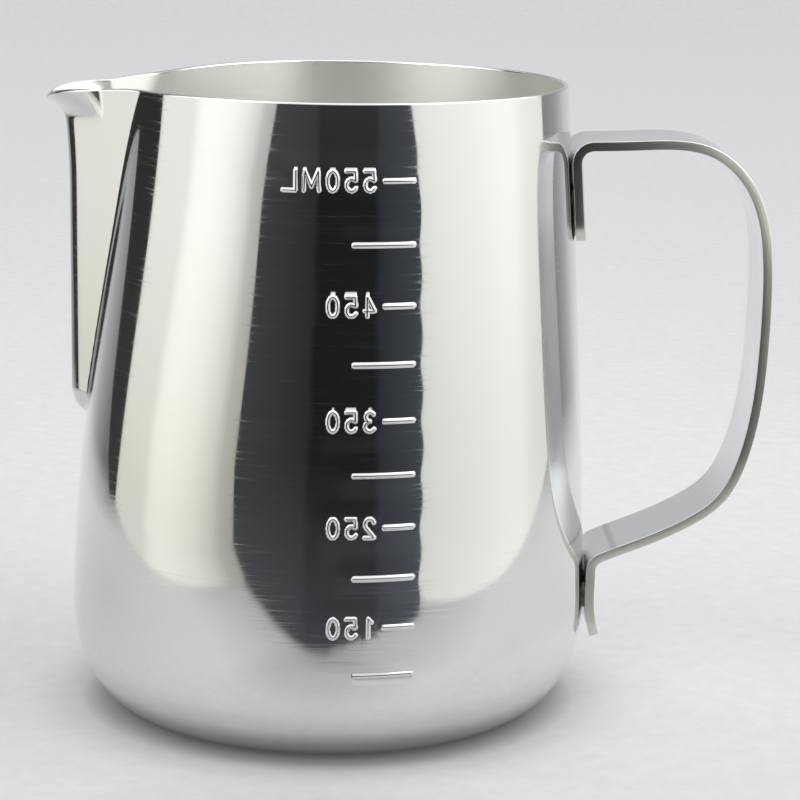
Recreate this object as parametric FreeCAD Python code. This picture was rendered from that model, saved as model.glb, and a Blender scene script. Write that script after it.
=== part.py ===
import FreeCAD, Part
import math
import os

V = FreeCAD.Vector

# Milk frothing pitcher: a one-piece drawn steel shell with a pulled spout,
# a bent strap handle and the four spot welds that hold the strap's tabs.
#
# Frame: origin at the centre of the base, on the table. +Z is up, the spout
# points to -X, the handle stands on the +X side. All lengths are millimetres.

# ---- driving dimensions: shell -------------------------------------------
BELLY_RADIUS = 45.0        # widest outside radius
RIM_RADIUS = 39.9          # outside radius at the plain part of the rim
BASE_RADIUS = 33.8         # outside radius of the flat base
BELLY_HEIGHT = 17.6        # height of the widest ring
HEIGHT = 108.7             # height of the plain part of the rim
TAPER_POWER = 1.39         # how the side leans in between belly and rim
WALL = 0.8                 # sheet thickness

# ---- driving dimensions: spout -------------------------------------------
SPOUT_RIDGE = 45.2         # distance of the V's sharp line from the axis
SPOUT_HALF_ANGLE = 43.8    # degrees, between the V's flank and its middle plane
SPOUT_NOSE = 0.068         # rounding of the V's ridge, as a share of the radius
SPOUT_LEAN = 1.35          # how far the V leans outwards by the height of the rim
SPOUT_LEAN_LENGTH = 19.5   # height over which it does
SPOUT_FOOT = 50.0          # height at which the V runs out into the side
SPOUT_FOOT_LENGTH = 5.0    # height over which its rounded foot swells up
CREASE_BLEND = 0.8         # width of the hollow between flank and side at the foot
CREASE_BLEND_GROWTH = 0.0125  # how much wider that hollow gets per millimetre of height
FLAT_DEPTH = 4.4           # how far pulling the spout draws the rim inwards
FLAT_START = 20.0          # height where that flattening begins
FLAT_ANGLE = 66.0          # degrees each side of the spout that it reaches
CURL_HEIGHT = 102.9        # height above which the tip's lip curls outwards
CURL_SOFTNESS = 0.5        # height over which that bend is rounded
CURL_SLOPE = 1.5           # how far the curl goes out per unit of height
CURL_ANGLE = 13.5          # degrees each side of the tip that the curl reaches
CURL_FALL = 0.7            # how it fades out: below 1 it stays full and ends steeply
SPOUT_SECTOR = 45.0        # degrees each side of the spout where the V can reach
TIP_DROP = 3.1             # how far the rim dips towards the tip
TIP_WIDTH = 7.8            # degrees over which that dip fades out
TIP_ROUNDING = 1.8         # degrees over which its point is rounded
FLAT_DROP = 0.65           # how far the flattened rim sits below the plain rim

# ---- driving dimensions: scale pressed into the side ----------------------
MARK_COUNT = 10            # 100 ml to 550 ml
MARK_VOLUME = 49.3         # millilitres between marks
LOWEST_MARK = 16.7         # height of the 100 ml mark
MARK_END = 13.9            # end shared by all marks, along the side from -Y towards +X
LONG_MARK_START = 4.35     # start of the marks at even hundreds, measured the same way
SHORT_MARK_START = 9.25    # start of the marks in between
SCALE_LEAN = 0.62          # degrees by which the column of marks leans towards the spout
BEAD_RADIUS = 0.57         # radius of a pressed bead
BEAD_RISE = 0.3            # how far it stands out of the side

# ---- driving dimensions: handle -------------------------------------------
STRAP_WIDTH = 16.7
STRAP_THICKNESS = 1.65
TAB_GAP = 0.2              # weld gap between tab and side
TAB_CORNER = 3.2           # corner radius of the strap's ends
UPPER_TAB_END = 82.2       # height of the free end of the upper tab
LOWER_TAB_END = 12.0       # height of the free end of the lower tab
UPPER_ARM_HEIGHT = 98.0    # height where the upper arm's line meets the tab's
LOWER_ARM_HEIGHT = 25.9    # the same for the lower arm
LOWER_STAND_OFF = 0.1      # how much further out than the upper tab the lower one stands
LOWER_TAB_KICK = 1.1       # how far the lower tab's end kicks out
KICK_START = 17.5          # height below which it kicks out
KICK_SLOPE = 0.3           # lean of its free end, out per unit of height
UPPER_TAB_BOW = 0.75       # hollowing of the upper tab, 1 being the side's own curve
LOWER_TAB_BOW = 0.25       # the same for the lower tab
TAB_CURVE = 42.5           # radius of the side that the tabs are hollowed to
BOW_FADE = 14.0            # length past a tab over which the hollowing fades out
BEND_RADIUS = 2.3          # middle-line radius of the bends above both tabs
# Middle line of the grip between the two bends, as X and Z: the upper arm, the
# rounded shoulder, the nearly upright grip, the lower shoulder and the lower arm.
GRIP_LINE = [
    (57.5, 99.1), (64.0, 98.0), (69.2, 94.3), (72.8, 88.0), (74.3, 79.5), (74.45, 67.5),
    (73.5, 53.8), (71.3, 44.0), (68.0, 37.6), (62.7, 33.5),
]

# ---- driving dimensions: spot welds ---------------------------------------
WELD_RADIUS = 2.2
WELD_SPACING = 8.0         # across the strap
UPPER_WELD_HEIGHT = 88.6
LOWER_WELD_HEIGHT = 19.0

# ---- sampling of the surfaces ---------------------------------------------
SAME_WAY = 1               # both edges of a ruled face are run in the same direction
PATCH_STEPS = 10           # grid steps across one face of a curved surface
CORNER_STEPS = 8
SIDE_STEPS = 34
FINE_STEPS = 60
ROUND_STEPS = 22
STRAP_STEP = 2.0           # millimetres between stations along the strap
LENGTH_SLACK = 1e-6        # keeps the last station inside the curve
FINE_SECTOR = 60.0         # degrees each side of the spout sampled finely


def side_radius(z):
    """Outside radius of the plain round shell at height z."""
    if z < BELLY_HEIGHT:
        drop = (BELLY_HEIGHT - z) / BELLY_HEIGHT
        return BASE_RADIUS + (BELLY_RADIUS - BASE_RADIUS) * math.sqrt(max(0.0, 1.0 - drop * drop))
    rise = (z - BELLY_HEIGHT) / (HEIGHT - BELLY_HEIGHT)
    return BELLY_RADIUS - (BELLY_RADIUS - RIM_RADIUS) * rise ** TAPER_POWER


def flattening(angle, z):
    """Depth by which the spout's forming draws the side in at this place."""
    rise = min(1.0, max(0.0, (z - FLAT_START) / (HEIGHT - FLAT_START)))
    depth = FLAT_DEPTH * math.sin(0.5 * math.pi * rise) ** 2
    return depth * math.exp(-(angle / FLAT_ANGLE) ** 4.5)


def rim_height(angle):
    """Height of the rim: it dips along the flats and again to the spout's tip."""
    near_tip = math.sqrt(angle * angle + TIP_ROUNDING ** 2) - TIP_ROUNDING
    dip = TIP_DROP * math.exp(-near_tip / TIP_WIDTH)
    return HEIGHT - dip - FLAT_DROP * math.exp(-(angle / 52.0) ** 3)


def smooth_max(a, b, width):
    """Larger of two radii, with a rounded hollow of this width between them."""
    overlap = max(0.0, width - abs(a - b)) / width
    return max(a, b) + width * overlap ** 3 / 6.0


def spout_radius(angle, z):
    """Radius of the V-shaped spout with its rounded foot, its lean and the curled lip of its tip."""
    lift = min(1.0, max(0.0, (z - SPOUT_FOOT) / SPOUT_FOOT_LENGTH))
    foot = math.sqrt(max(0.0, 1.0 - (1.0 - lift) ** 2))
    foot_radius = side_radius(SPOUT_FOOT) - flattening(0.0, SPOUT_FOOT) - 1.5
    ridge = foot_radius + (SPOUT_RIDGE - foot_radius) * foot
    ridge += SPOUT_LEAN * max(0.0, 1.0 - (HEIGHT - z) / SPOUT_LEAN_LENGTH) ** 2
    if angle < CURL_ANGLE:
        rise = (z - CURL_HEIGHT) / CURL_SOFTNESS
        curl = CURL_SLOPE * CURL_SOFTNESS * math.log(1.0 + math.exp(rise))
        ridge += curl * (1.0 - (angle / CURL_ANGLE) ** 2) ** CURL_FALL
    turn = math.radians(angle)
    side = math.sqrt(math.sin(turn) ** 2 + SPOUT_NOSE ** 2) - SPOUT_NOSE
    return ridge / (math.cos(turn) + side / math.tan(math.radians(SPOUT_HALF_ANGLE)))


def shell_radius(angle, z):
    """Outside radius at an angle in degrees from the spout and a height."""
    angle = abs(angle)
    side = side_radius(z) - flattening(angle, z)
    if z < SPOUT_FOOT or angle > SPOUT_SECTOR:
        return side
    blend = CREASE_BLEND + CREASE_BLEND_GROWTH * (z - SPOUT_FOOT)
    return smooth_max(side, spout_radius(angle, z), blend)


def shell_point(angle, level):
    """Outside point; level runs 0 to 1 up the corner and 1 to 2 up the side."""
    if level < 1.0:
        turn = 0.5 * math.pi * level
        z = BELLY_HEIGHT * (1.0 - math.cos(turn))
    else:
        z = BELLY_HEIGHT + (rim_height(abs(angle)) - BELLY_HEIGHT) * (level - 1.0)
    radius = shell_radius(angle, z)
    turn = math.radians(angle)
    return V(-radius * math.cos(turn), -radius * math.sin(turn), z)


def inward_normal(angle, level):
    """Unit vector from the outside surface into the sheet."""
    step = 1e-3
    low = max(0.0, level - step)
    high = min(2.0, level + step)
    around = shell_point(angle + step, level) - shell_point(angle - step, level)
    up = shell_point(angle, high) - shell_point(angle, low)
    normal = up.cross(around)
    return normal.normalize()


def spread(first, last, steps):
    """Evenly spaced values from first to last."""
    return [first + (last - first) * index / steps for index in range(steps + 1)]


def smooth_surface(grid):
    surface = Part.BSplineSurface()
    surface.interpolate(grid)
    return surface


def surface_patches(grid):
    """One smooth surface through a grid of points, cut into columns of faces."""
    surface = smooth_surface(grid)
    columns = []
    for u_first, u_last in knot_spans(surface.getUKnots()):
        column = []
        for v_first, v_last in knot_spans(surface.getVKnots()):
            patch = surface.copy()
            patch.segment(u_first, u_last, v_first, v_last)
            column.append(patch.toShape())
        columns.append(column)
    return columns


def knot_spans(knots):
    """Neighbouring stretches between a surface's knots, each a few knots long."""
    steps = len(knots) - 1
    count = max(1, round(steps / PATCH_STEPS))
    cuts = [knots[round(index * steps / count)] for index in range(count + 1)]
    return list(zip(cuts, cuts[1:]))


def middle_point(edge):
    return edge.valueAt(0.5 * (edge.FirstParameter + edge.LastParameter))


def top_edge(face):
    return max(face.Edges, key=lambda edge: middle_point(edge).z)


def bottom_edge(face):
    return min(face.Edges, key=lambda edge: middle_point(edge).z)


def sewn_solid(faces):
    """One closed solid from faces that meet edge to edge."""
    shell = Part.makeShell(faces)
    shell.sewShape()
    solid = Part.makeSolid(Part.Shell(shell.Faces))
    if solid.Volume < 0:
        solid.reverse()
    return solid


def pitcher_shell():
    """Drawn shell: outside face, inside face, rim and both sides of the base."""
    fine = spread(0.0, FINE_SECTOR, FINE_STEPS)
    coarse = spread(FINE_SECTOR, 180.0, ROUND_STEPS)[1:]
    half = fine + coarse
    angles = [-angle for angle in reversed(half)] + half[1:]
    levels = spread(0.0, 1.0, CORNER_STEPS)
    levels += [1.0 + math.sin(0.5 * math.pi * share) for share in spread(0.0, 1.0, SIDE_STEPS)[1:]]
    outside = []
    inside = []
    for angle in angles:
        outer_row = [shell_point(angle, level) for level in levels]
        inner_row = []
        for point, level in zip(outer_row, levels):
            inner_row.append(point + inward_normal(angle, level) * WALL)
        outside.append(outer_row)
        inside.append(inner_row)
    outer_columns = surface_patches(outside)
    inner_columns = surface_patches(inside)
    faces = []
    for outer, inner in zip(outer_columns, inner_columns):
        rim = Part.makeRuledSurface(top_edge(outer[-1]), top_edge(inner[-1]), SAME_WAY)
        faces += outer + inner + [rim]
    for columns in (outer_columns, inner_columns):
        ring = [bottom_edge(column[0]) for column in columns]
        faces.append(Part.Face(Part.Wire(ring)))
    return sewn_solid(faces)


def inside_radius(angle, z):
    """Inside radius on the plain side, where the sheet is close to upright."""
    return shell_radius(angle, z) - WALL


def section_area(z):
    """Area of the inside at height z."""
    step = 3.0
    turns = spread(step / 2, 180.0 - step / 2, int(180.0 / step) - 1)
    return sum(inside_radius(turn, z) ** 2 for turn in turns) * math.radians(step)


def mark_heights():
    """Heights of the scale's marks, each one mark's volume above the last."""
    heights = [LOWEST_MARK]
    while len(heights) < MARK_COUNT:
        z = heights[-1]
        rise = MARK_VOLUME * 1000.0 / section_area(z)
        heights.append(z + MARK_VOLUME * 1000.0 / section_area(z + rise / 2))
    return heights


def bead(radius, z, first, last):
    """Round-ended bar bent round the axis between two angles in degrees from -Y to +X."""
    ring = Part.Circle(V(radius, 0, z), V(0, 1, 0), BEAD_RADIUS)
    section = Part.Face(Part.Wire([ring.toShape()]))
    section.rotate(V(0, 0, 0), V(0, 0, 1), first - 90.0)
    bar = section.revolve(V(0, 0, 0), V(0, 0, 1), last - first)
    for end in (first, last):
        turn = math.radians(end)
        centre = V(radius * math.sin(turn), -radius * math.cos(turn), z)
        bar = bar.fuse(Part.makeSphere(BEAD_RADIUS, centre))
    return bar


def with_scale(shell):
    """The shell with its marks pressed outwards from the inside."""
    ridges = []
    grooves = []
    sunk = BEAD_RADIUS - BEAD_RISE
    for index, z in enumerate(mark_heights()):
        shift = z * math.tan(math.radians(SCALE_LEAN))
        radius = side_radius(z) - flattening(90.0, z)
        start = LONG_MARK_START if index % 2 == 0 else SHORT_MARK_START
        first = math.degrees((start - shift) / radius)
        last = math.degrees((MARK_END - shift) / radius)
        ridges.append(bead(radius - sunk, z, first, last))
        grooves.append(bead(radius - WALL - sunk, z, first, last))
    return shell.fuse(ridges).cut(Part.makeCompound(grooves))


def bend_corner(before, corner, after):
    """Tangent arc that rounds a corner of the strap's middle line, with its two ends."""
    arriving = (corner - before).normalize()
    leaving = (after - corner).normalize()
    turn = arriving.getAngle(leaving)
    reach = BEND_RADIUS * math.tan(turn / 2)
    cut_back = BEND_RADIUS * (1.0 / math.cos(turn / 2) - 1.0)
    start = corner - arriving * reach
    end = corner + leaving * reach
    middle = corner + (leaving - arriving).normalize() * cut_back
    return start, Part.Arc(start, middle, end).toShape(), end


def smooth_curve(points, first_way, last_way):
    """Curve through points that starts and ends in given directions."""
    curve = Part.BSplineCurve()
    curve.interpolate(points, InitialTangent=first_way.normalize(), FinalTangent=last_way.normalize())
    return curve.toShape()


def strap_path():
    """Middle line of the strap in the XZ plane, from the upper to the lower tab's end."""
    stand_off = TAB_GAP + STRAP_THICKNESS / 2
    upper_end = V(side_radius(UPPER_TAB_END) + stand_off, 0, UPPER_TAB_END)
    upper_corner = V(side_radius(UPPER_ARM_HEIGHT) + stand_off, 0, UPPER_ARM_HEIGHT)
    lower_x = side_radius(LOWER_ARM_HEIGHT) + stand_off + LOWER_STAND_OFF
    lower_corner = V(lower_x, 0, LOWER_ARM_HEIGHT)
    kick_start = V(lower_x, 0, KICK_START)
    lower_end = V(lower_x + LOWER_TAB_KICK, 0, LOWER_TAB_END)
    grip = [V(x, 0, z) for x, z in GRIP_LINE]
    upper_start, upper_bend, arm_start = bend_corner(upper_end, upper_corner, grip[0])
    arm_end, lower_bend, lower_start = bend_corner(grip[-1], lower_corner, kick_start)
    upper_tab = Part.makeLine(upper_end, upper_start)
    arm = smooth_curve([arm_start] + grip + [arm_end], grip[0] - upper_corner, lower_corner - grip[-1])
    lower_tab = smooth_curve([lower_start, kick_start, lower_end], V(0, 0, -1), V(KICK_SLOPE, 0, -1))
    return [upper_tab, upper_bend, arm, lower_bend, lower_tab]


def strap_stations():
    """Points along the strap with one side of it and the hollowing towards that side.

    That side faces the shell at the upper tab and faces away from it at the lower one.
    """
    stations = []
    edges = strap_path()
    lengths = [edge.Length for edge in edges]
    total = sum(lengths)
    travelled = 0.0
    for edge, length in zip(edges, lengths):
        steps = max(6, int(length / STRAP_STEP))
        places = spread(0.0, length, steps)
        for place in places[1 if stations else 0:]:
            parameter = edge.getParameterByLength(min(place, length - LENGTH_SLACK))
            tangent = edge.tangentAt(parameter)
            facing = V(-tangent.z, 0, tangent.x)
            along = travelled + place
            upper = UPPER_TAB_BOW * fade(along, lengths[0], lengths[0] + BOW_FADE)
            lower = LOWER_TAB_BOW * fade(total - along, lengths[4], lengths[4] + BOW_FADE)
            stations.append((edge.valueAt(parameter), facing, upper - lower))
        travelled += length
    return stations


def fade(value, full, none):
    """One up to full, falling smoothly to nothing at none."""
    share = min(1.0, max(0.0, (value - full) / (none - full)))
    return 0.5 + 0.5 * math.cos(math.pi * share)


def handle_strap():
    """Bent strap: two broad faces, two long edges and two ends, with rounded corners."""
    across = spread(-STRAP_WIDTH / 2, STRAP_WIDTH / 2, 6)
    broad = []
    for offset in (STRAP_THICKNESS / 2, -STRAP_THICKNESS / 2):
        grid = []
        for point, facing, bow in strap_stations():
            row = []
            for y in across:
                dish = bow * (TAB_CURVE - math.sqrt(TAB_CURVE ** 2 - y * y))
                row.append(point + facing * (offset + dish) + V(0, y, 0))
            grid.append(row)
        broad.append(smooth_surface(grid).toShape())
    near, far = broad
    sides = []
    for near_edge in near.Edges:
        middle = middle_point(near_edge)
        partner = min(far.Edges, key=lambda edge: middle_point(edge).distanceToPoint(middle))
        sides.append(Part.makeRuledSurface(near_edge, partner, SAME_WAY))
    strap = sewn_solid([near, far] + sides)
    for end_height in (UPPER_TAB_END, LOWER_TAB_END):
        for side in (-1, 1):
            strap = strap.cut(corner_cutter(end_height, side))
    return strap


def corner_cutter(end_height, side):
    """What is left outside a rounded corner of a tab's end."""
    size = TAB_CORNER + 1.0
    reach = 12.0
    centre = V(RIM_RADIUS - 2.0, STRAP_WIDTH / 2 - TAB_CORNER, end_height + TAB_CORNER)
    block = Part.makeBox(reach, size, size, centre - V(0, 0, size))
    cutter = block.cut(Part.makeCylinder(TAB_CORNER, reach, centre, V(1, 0, 0)))
    if side < 0:
        cutter = cutter.mirror(V(0, 0, 0), V(0, 1, 0))
    return cutter


def spot_welds(height, shell, strap):
    """Pair of weld nuggets that fill the gap between a tab and the shell."""
    nuggets = []
    for side in (-1, 1):
        y = side * WELD_SPACING / 2
        start = V(side_radius(height) - 4.0, y, height)
        post = Part.makeCylinder(WELD_RADIUS, 8.0, start, V(1, 0, 0))
        pieces = post.cut(shell).cut(strap).Solids
        between = sorted(pieces, key=lambda piece: piece.CenterOfMass.x)
        nuggets.append(between[1])
    return Part.makeCompound(nuggets)


def main():
    os.makedirs("parts", exist_ok=True)
    shell = with_scale(pitcher_shell())
    strap = handle_strap()
    parts = {
        "pitcher_body": shell,
        "handle_strap": strap,
        "upper_spot_welds": spot_welds(UPPER_WELD_HEIGHT, shell, strap),
        "lower_spot_welds": spot_welds(LOWER_WELD_HEIGHT, shell, strap),
    }
    for name, shape in parts.items():
        print(name, shape.isValid(), len(shape.Solids), round(shape.Volume, 2), shape.BoundBox)
        shape.exportStep("parts/" + name + ".step")


if __name__ == "__main__":
    main()
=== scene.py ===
import math

import bpy
import numpy as np
from mathutils import Matrix, Vector


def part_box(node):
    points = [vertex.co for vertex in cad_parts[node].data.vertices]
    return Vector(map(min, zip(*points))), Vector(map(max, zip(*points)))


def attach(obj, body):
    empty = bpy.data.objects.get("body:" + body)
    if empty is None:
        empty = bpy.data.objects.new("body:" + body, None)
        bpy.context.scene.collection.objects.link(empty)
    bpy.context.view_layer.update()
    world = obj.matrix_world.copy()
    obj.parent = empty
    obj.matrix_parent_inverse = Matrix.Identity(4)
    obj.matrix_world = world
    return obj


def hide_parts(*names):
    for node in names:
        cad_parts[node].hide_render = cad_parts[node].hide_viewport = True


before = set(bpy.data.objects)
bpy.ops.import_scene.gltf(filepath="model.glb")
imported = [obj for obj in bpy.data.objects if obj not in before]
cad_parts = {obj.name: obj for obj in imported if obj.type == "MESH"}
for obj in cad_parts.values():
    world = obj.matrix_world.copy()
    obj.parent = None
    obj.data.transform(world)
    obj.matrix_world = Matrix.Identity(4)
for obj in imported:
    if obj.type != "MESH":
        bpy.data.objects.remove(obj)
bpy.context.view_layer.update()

# Milk frothing pitcher. Metres, spout towards -X, handle towards +X, scale on -Y.
MM = 0.001

# ---- sizes read from the frame --------------------------------------------
_, body_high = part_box("pitcher_body")
strap_low, strap_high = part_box("handle_strap")
HEIGHT = body_high.z / MM
BELLY_RADIUS = body_high.x / MM
STRAP_WIDTH = (strap_high.y - strap_low.y) / MM

# ---- shell, in millimetres -------------------------------------------------
RIM_RADIUS = 39.9            # outside, at the plain part of the rim
BASE_RADIUS = 33.8           # of the flat base
BELLY_HEIGHT = 17.6          # of the widest ring
TAPER_POWER = 1.39           # how the side leans in between belly and rim
WALL = 0.8                   # sheet thickness
SPOUT_RIDGE = 45.2           # distance of the V's sharp line from the axis
SPOUT_HALF_ANGLE = 43.8      # degrees, between the V's flank and its middle plane
SPOUT_NOSE = 0.068           # rounding of the V's ridge, as a share of the radius
SPOUT_LEAN = 1.35            # how far the V leans outwards by the height of the rim
SPOUT_LEAN_LENGTH = 19.5     # height over which it does
SPOUT_FOOT = 50.0            # height at which the V runs out into the side
SPOUT_FOOT_LENGTH = 5.0      # height over which its rounded foot swells up
FOOT_SINK = 1.5              # how far inside the side's surface the foot begins
CREASE_BLEND = 0.8           # width of the hollow between flank and side at the foot
CREASE_BLEND_GROWTH = 0.0125 # how much wider it gets per millimetre of height
FLAT_DEPTH = 4.4             # how far pulling the spout draws the rim inwards
FLAT_START = 20.0            # height where that flattening begins
FLAT_ANGLE = 66.0            # degrees each side of the spout that it reaches
FLAT_POWER = 4.5             # how suddenly it ends there
CURL_HEIGHT = 102.9          # height above which the tip's lip curls outwards
CURL_SOFTNESS = 0.5          # height over which that bend is rounded
CURL_SLOPE = 1.5             # how far the curl goes out per unit of height
CURL_ANGLE = 13.5            # degrees each side of the tip that the curl reaches
CURL_FALL = 0.7              # how it fades out: below 1 it ends steeply
SPOUT_SECTOR = 45.0          # degrees each side of the spout where the V can reach
TIP_DROP = 3.1               # how far the rim dips towards the tip
TIP_WIDTH = 7.8              # degrees over which that dip fades out
TIP_ROUNDING = 1.8           # degrees over which its point is rounded
FLAT_DROP = 0.65             # how far the flattened rim sits below the plain rim
FLAT_DROP_ANGLE = 52.0       # degrees each side of the spout that it does so
LIP_RADIUS = WALL / 2

# ---- pressed scale ----------------------------------------------------------
MARK_COUNT = 10
MARK_VOLUME = 49.3
LOWEST_MARK = 16.7
MARK_END = 13.9
LONG_MARK_START = 4.35
SHORT_MARK_START = 9.25
SCALE_LEAN = 0.62          # degrees from upright, towards the spout
MARK_BEAD = 0.5
MARK_RISE = 0.3
DIGIT_HEIGHT = 3.1         # of the middle line
DIGIT_WIDTH = 1.6
DIGIT_SPACE = 1.32         # between the middle lines of neighbours
DIGIT_GAP = 1.25           # between a short mark and the first numeral
DIGIT_BEAD = 0.38
DIGIT_RISE = 0.26
DENT_RISE = 0.035          # soft swelling of the sheet round each pressing
DENT_REACH = 2.4

# ---- strap ------------------------------------------------------------------
STRAP_THICKNESS = 1.65
TAB_GAP = 0.2
TAB_CORNER = 3.2
UPPER_TAB_END = 82.2
LOWER_TAB_END = 12.0
UPPER_ARM_HEIGHT = 98.0
LOWER_ARM_HEIGHT = 25.9
LOWER_TAB_KICK = 1.1
KICK_START = 17.5
KICK_SLOPE = 0.3
LOWER_STAND_OFF = 0.1
UPPER_TAB_BOW = 0.75
LOWER_TAB_BOW = 0.25
TAB_CURVE = 42.5
BOW_FADE = 14.0
BEND_RADIUS = 2.3
EDGE_RADIUS = 0.17
STRAP_LENGTH = 0.142       # in metres, along the middle line
GRIP_LINE = [
    (57.5, 99.1), (64.0, 98.0), (69.2, 94.3), (72.8, 88.0), (74.3, 79.5), (74.45, 67.5),
    (73.5, 53.8), (71.3, 44.0), (68.0, 37.6), (62.7, 33.5),
]


# ============================== shell shape ===================================

def side_radius(z):
    """Outside radius of the plain round shell at height z."""
    z = np.asarray(z, float)
    drop = np.clip((BELLY_HEIGHT - z) / BELLY_HEIGHT, 0.0, 1.0)
    corner = BASE_RADIUS + (BELLY_RADIUS - BASE_RADIUS) * np.sqrt(1.0 - drop ** 2)
    rise = np.clip((z - BELLY_HEIGHT) / (HEIGHT - BELLY_HEIGHT), 0.0, None)
    side = BELLY_RADIUS - (BELLY_RADIUS - RIM_RADIUS) * rise ** TAPER_POWER
    return np.where(z < BELLY_HEIGHT, corner, side)


def flattening(angle, z):
    """Depth by which the spout's forming draws the side in."""
    rise = np.clip((z - FLAT_START) / (HEIGHT - FLAT_START), 0.0, 1.0)
    depth = FLAT_DEPTH * np.sin(0.5 * np.pi * rise) ** 2
    return depth * np.exp(-(angle / FLAT_ANGLE) ** FLAT_POWER)


def rim_height(angle):
    """Height of the rim: it dips along the flats and again to the spout's tip."""
    near_tip = np.sqrt(angle * angle + TIP_ROUNDING ** 2) - TIP_ROUNDING
    dip = TIP_DROP * np.exp(-near_tip / TIP_WIDTH)
    return HEIGHT - dip - FLAT_DROP * np.exp(-(angle / FLAT_DROP_ANGLE) ** 3)


def smooth_max(a, b, width):
    overlap = np.clip(width - np.abs(a - b), 0.0, None) / width
    return np.maximum(a, b) + width * overlap ** 3 / 6.0


def spout_radius(angle, z):
    """Radius of the V-shaped spout with its rounded foot, its lean and the curled lip of its tip."""
    lift = np.clip((z - SPOUT_FOOT) / SPOUT_FOOT_LENGTH, 0.0, 1.0)
    foot = np.sqrt(np.clip(1.0 - (1.0 - lift) ** 2, 0.0, None))
    foot_radius = side_radius(SPOUT_FOOT) - flattening(0.0, SPOUT_FOOT) - FOOT_SINK
    ridge = foot_radius + (SPOUT_RIDGE - foot_radius) * foot
    ridge = ridge + SPOUT_LEAN * np.clip(1.0 - (HEIGHT - z) / SPOUT_LEAN_LENGTH, 0.0, None) ** 2
    curl = CURL_SLOPE * CURL_SOFTNESS * np.logaddexp(0.0, (z - CURL_HEIGHT) / CURL_SOFTNESS)
    away = np.clip(angle / CURL_ANGLE, 0.0, 1.0)
    ridge = ridge + curl * (1.0 - away ** 2) ** CURL_FALL
    turn = np.radians(angle)
    side = np.sqrt(np.sin(turn) ** 2 + SPOUT_NOSE ** 2) - SPOUT_NOSE
    return ridge / (np.cos(turn) + side / math.tan(math.radians(SPOUT_HALF_ANGLE)))


def shell_radius(angle, z):
    """Outside radius at an angle in degrees from the spout and a height."""
    angle = np.abs(angle)
    side = side_radius(z) - flattening(angle, z)
    blend = CREASE_BLEND + CREASE_BLEND_GROWTH * np.clip(z - SPOUT_FOOT, 0.0, None)
    joined = smooth_max(side, spout_radius(np.clip(angle, 0.0, SPOUT_SECTOR), z), blend)
    return np.where((z < SPOUT_FOOT) | (angle > SPOUT_SECTOR), side, joined)


def shell_point(angle, level, rim_drop=0.0):
    """Outside points; level 0 to 1 climbs the corner and 1 to 2 the side."""
    corner = BELLY_HEIGHT * (1.0 - np.cos(0.5 * np.pi * np.clip(level, 0.0, 1.0)))
    top = rim_height(np.abs(angle)) - rim_drop
    z = np.where(level < 1.0, corner, BELLY_HEIGHT + (top - BELLY_HEIGHT) * (level - 1.0))
    radius = shell_radius(angle, z)
    turn = np.radians(angle)
    return np.stack([-radius * np.cos(turn), -radius * np.sin(turn), z], -1)


def outward_normal(angle, level, rim_drop):
    """Unit vectors out of the outside surface."""
    step = 1e-3
    around = shell_point(angle + step, level, rim_drop) - shell_point(angle - step, level, rim_drop)
    low = np.clip(level - step, 0.0, None)
    up = shell_point(angle, level + step, rim_drop) - shell_point(angle, low, rim_drop)
    normal = np.cross(around, up)
    return normal / np.linalg.norm(normal, axis=-1, keepdims=True)


# ============================== pressed scale =================================

def arc(centre_x, centre_y, radius_x, radius_y, first, last, steps=10):
    """Points of an elliptical arc between two angles in degrees."""
    turns = np.radians(np.linspace(first, last, steps + 1))
    return [(centre_x + radius_x * math.cos(t), centre_y + radius_y * math.sin(t)) for t in turns]


# Middle lines of the numerals in a cell one wide and one high.
GLYPHS = {
    "0": [arc(0.5, 0.5, 0.5, 0.5, 0, 360, 24)],
    "1": [[(0.25, 0.8), (0.6, 1.0), (0.6, 0.0)]],
    "2": [arc(0.48, 0.7, 0.46, 0.3, 165, -25) + [(0.0, 0.0), (1.0, 0.0)]],
    "3": [arc(0.46, 0.76, 0.42, 0.24, 150, -90), arc(0.46, 0.26, 0.5, 0.26, 90, -150)],
    "4": [[(0.72, 0.0), (0.72, 1.0), (0.0, 0.28), (1.0, 0.28)]],
    "5": [[(1.0, 1.0), (0.12, 1.0), (0.05, 0.54)] + arc(0.47, 0.31, 0.5, 0.31, 132, -150)],
    "M": [[(0.0, 0.0), (0.06, 1.0), (0.5, 0.2), (0.94, 1.0), (1.0, 0.0)]],
    "L": [[(0.0, 1.0), (0.0, 0.0), (1.0, 0.0)]],
}


def section_area(z):
    """Area inside the shell at height z."""
    turns = np.arange(1.5, 180.0, 3.0)
    return float(np.sum((shell_radius(turns, z) - WALL) ** 2) * math.radians(3.0))


def mark_heights():
    """Heights of the marks, each one mark's volume above the last."""
    heights = [LOWEST_MARK]
    while len(heights) < MARK_COUNT:
        z = heights[-1]
        rise = MARK_VOLUME * 1000.0 / section_area(z)
        heights.append(z + MARK_VOLUME * 1000.0 / section_area(z + rise / 2))
    return heights


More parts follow.
